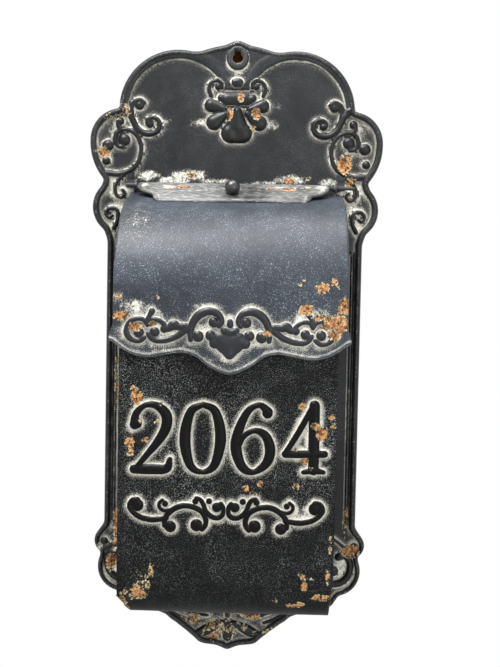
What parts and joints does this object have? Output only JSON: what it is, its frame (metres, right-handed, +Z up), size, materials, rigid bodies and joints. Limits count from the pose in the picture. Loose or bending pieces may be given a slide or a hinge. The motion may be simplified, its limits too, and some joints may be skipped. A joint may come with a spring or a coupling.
{
  "type": "wall mailbox",
  "caption": "Wall-hung sheet-metal letter box with a scalloped back plate, a lifting rounded hood and a small knobbed letter flap.",
  "frame": {"origin": "centre of the round part of the hanging keyhole, on the plane of the wall", "axes": "+X to the right as seen by someone facing the mailbox, +Y into the wall, +Z up; the front faces -Y"},
  "size_m": [0.286, 0.1036, 0.6025],
  "materials": {
    "plate_paint": "worn black paint with pale wash in the recesses and rust patches",
    "body_paint": "worn black paint with fine grey streaks and rust patches",
    "hood_paint": "worn blue-black paint, faded on top, with rust patches",
    "flap_paint": "worn black paint rubbed bright along its edge",
    "knob_paint": "satin black paint",
    "eyelet_steel": "dull dark grey, rusty inside",
    "strap_paint": "worn black paint with pale wash",
    "rod_steel": "drawn wire, darkened by rust",
    "screw_steel": "dull zinc",
    "rivet_steel": "dull, lightly rusted"
  },
  "bodies": {
    "box": {"back_plate": "plate_paint", "hanger_eyelet": "eyelet_steel", "front_panel": "body_paint", "side_plate_left": "body_paint", "side_plate_right": "body_paint", "hinge_rod": "rod_steel", "hinge_strap_left": "strap_paint", "hinge_strap_right": "strap_paint", "strap_rivets": "rivet_steel", "body_rivets": "rivet_steel"},
    "hood": {"hood": "hood_paint"},
    "flap": {"slot_flap": "flap_paint", "flap_knob": "knob_paint", "knob_screw": "screw_steel"}
  },
  "joints": [
    {"name": "hood_hinge", "type": "hinge", "parent": "box", "child": "hood", "pos_m": [0, -0.008, -0.1243], "axis": [-1, 0, 0], "range_deg": [0, 55]},
    {"name": "flap_hinge", "type": "hinge", "parent": "hood", "child": "flap", "pos_m": [0, -0.008, -0.1243], "axis": [-1, 0, 0], "range_deg": [0, 28]}
  ]
}
